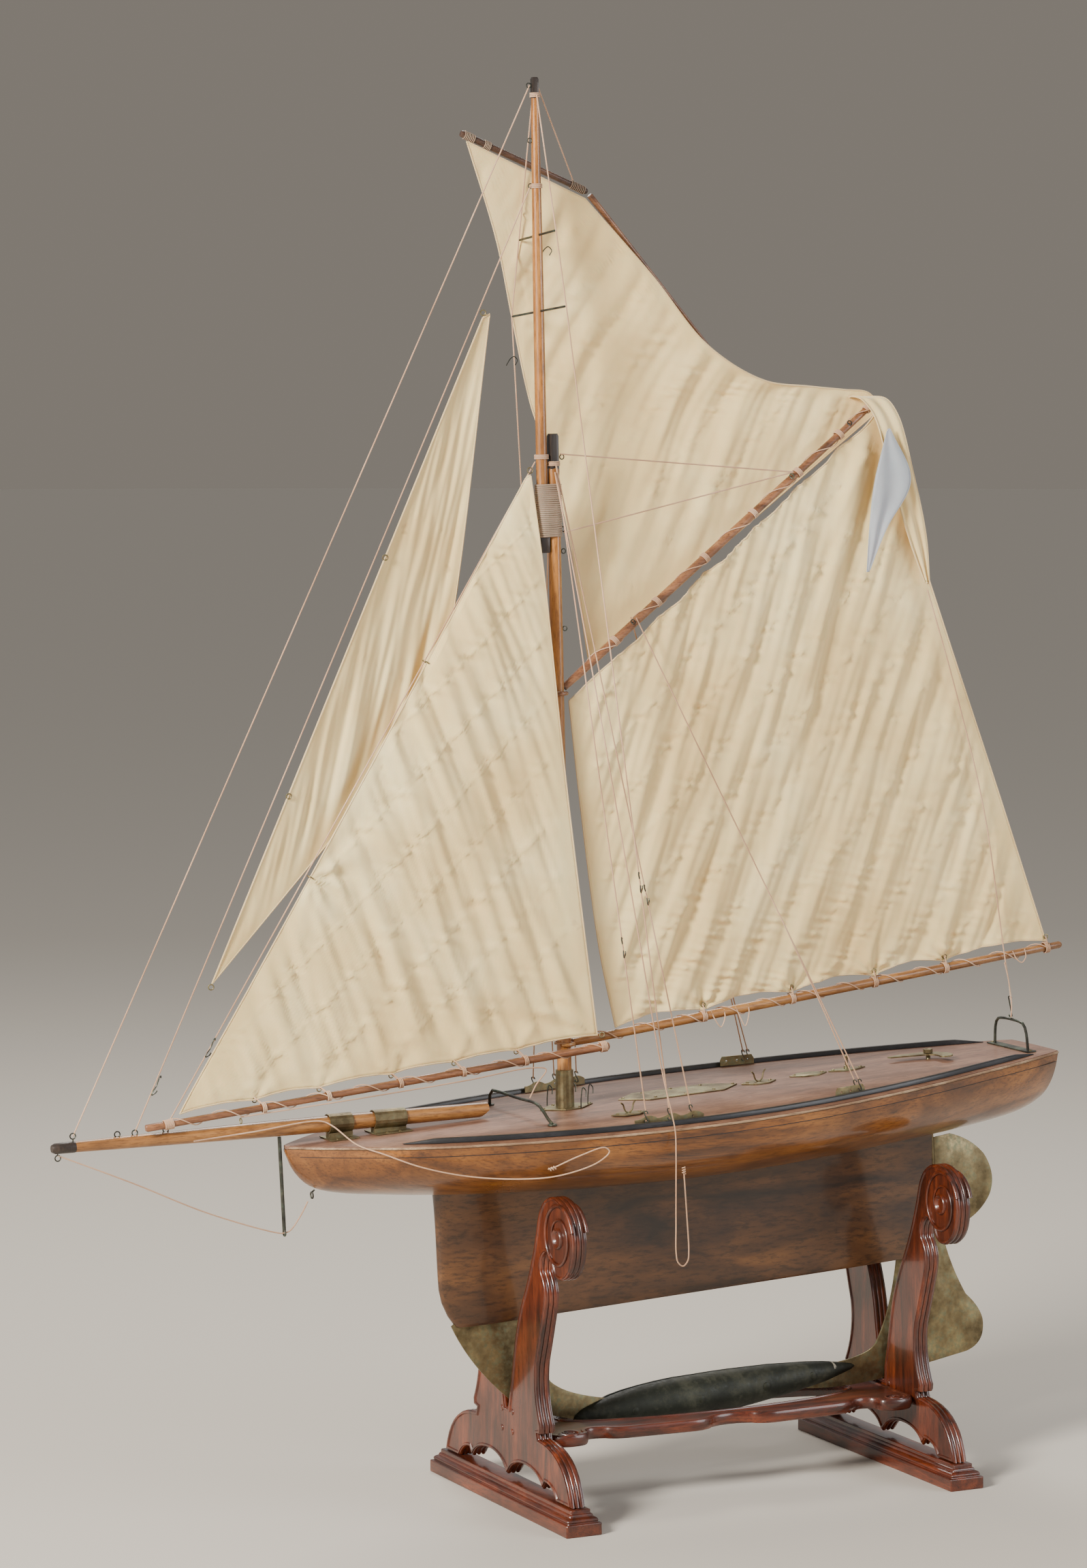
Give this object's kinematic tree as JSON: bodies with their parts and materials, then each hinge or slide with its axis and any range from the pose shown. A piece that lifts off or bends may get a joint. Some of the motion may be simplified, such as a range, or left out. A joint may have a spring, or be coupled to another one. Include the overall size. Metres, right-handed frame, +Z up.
{
  "type": "gaff cutter pond yacht on a stand",
  "caption": "Antique gaff-rigged model sailing yacht with bowsprit, topsail and two headsails, deep ballasted keel and a turning rudder, resting in a carved wooden cradle stand.",
  "frame": {"origin": "on the floor, under the middle of the whole length from the tip of the bowsprit to the end of the boom, on the centre line", "axes": "+Z up, +X towards the stern, +Y to starboard"},
  "size_m": [1.4542, 0.408, 1.8264],
  "materials": {
    "mahogany": "French-polished carved mahogany, glossy, darker in the recesses",
    "hull_wood": "old varnished carved wood, golden brown above and darker towards the fin",
    "deck_wood": "worn matt deck",
    "black_wood": "black varnished strip",
    "spar_wood": "varnished spruce, satin",
    "dark_spar_wood": "old dark varnished cane",
    "brass": "unpolished brass with brown and green patina",
    "dark_wire": "dull drawn wire",
    "painted_lead": "chipped dark green paint on cast lead",
    "canvas": "aged cream cotton, puckered seams",
    "bunting": "faded pale blue cotton",
    "cord": "laid cotton line",
    "whipping_twine": "grey brown twine, wound close"
  },
  "bodies": {
    "stand": {"fore_foot_bar": "mahogany", "aft_foot_bar": "mahogany", "fore_end_frame": "mahogany", "aft_end_frame": "mahogany", "stretcher": "mahogany"},
    "boat": {"hull": "hull_wood", "deck": "deck_wood", "port_rail": "black_wood", "starboard_rail": "black_wood", "keel_plate": "brass", "bulb_port": "painted_lead", "bulb_starboard": "painted_lead", "mast_socket": "brass", "lower_mast": "spar_wood", "topmast": "spar_wood", "mast_lashing": "whipping_twine", "upper_spreader": "dark_wire", "lower_spreader": "dark_wire", "bowsprit": "spar_wood", "fore_bowsprit_band": "brass", "aft_bowsprit_band": "brass", "dolphin_striker": "dark_wire", "stem_eye": "dark_wire", "jib_horse": "dark_wire", "stern_horse": "dark_wire", "port_shroud_plate": "brass", "starboard_shroud_plate": "brass", "port_aft_plate": "brass", "starboard_aft_plate": "brass", "hatch_plate": "brass", "fore_belaying_plate": "brass", "aft_belaying_plate": "brass", "topmast_forestay": "cord", "flying_jib_stay": "cord", "jib_stay": "cord", "bobstay": "cord", "lower_shrouds": "cord", "topmast_shrouds": "cord", "topsail_yard": "dark_spar_wood", "topsail_club": "dark_spar_wood", "topsail_halyard": "cord", "topsail": "canvas", "port_vang": "cord", "starboard_vang": "cord", "gaff_halyard": "cord", "topsail_sheet": "cord", "jib_sheet": "cord", "loose_runner": "cord", "loose_downhaul": "cord"},
    "rudder": {"rudder_blade": "brass", "rudder_stock": "brass", "tiller": "brass", "tiller_nut": "brass"},
    "boom": {"boom": "spar_wood", "mainsail": "canvas"},
    "gaff": {"gaff": "spar_wood", "pennant": "bunting"},
    "jib": {"jib_club": "spar_wood", "jib": "canvas"},
    "flying_jib": {"flying_jib": "canvas"}
  },
  "joints": [
    {"name": "boat_lift", "type": "slide", "parent": "stand", "child": "boat", "axis": [0, 0, 1], "range_m": [0, 0.4]},
    {"name": "rudder_turn", "type": "hinge", "parent": "boat", "child": "rudder", "pos_m": [0.51895, 0, 0.53952], "axis": [-0.0523, 0, 0.9986], "range_deg": [-35, 35]},
    {"name": "boom_swing", "type": "hinge", "parent": "boat", "child": "boom", "pos_m": [-0.0253, 0, 0.511], "axis": [-0.0209, 0, 0.9998], "range_deg": [-20, 20]},
    {"name": "gaff_swing", "type": "hinge", "parent": "boat", "child": "gaff", "pos_m": [-0.0253, 0, 0.511], "axis": [-0.0209, 0, 0.9998], "range_deg": [-20, 20], "deforming": ["topsail", "port_vang", "starboard_vang", "gaff_halyard", "topsail_sheet"]},
    {"name": "jib_swing", "type": "hinge", "parent": "boat", "child": "jib", "pos_m": [-0.57769, 0, 0.52311], "axis": [0.5282, 0, 0.8491], "range_deg": [-12, 0], "deforming": ["jib_sheet"]},
    {"name": "flying_jib_swing", "type": "hinge", "parent": "boat", "child": "flying_jib", "pos_m": [-0.61858, 0, 0.51996], "axis": [0.4216, 0, 0.9068], "range_deg": [0, 30]}
  ],
  "couplings": [
    {"joint": "gaff_swing", "follows": "boom_swing", "ratio": 1}
  ]
}
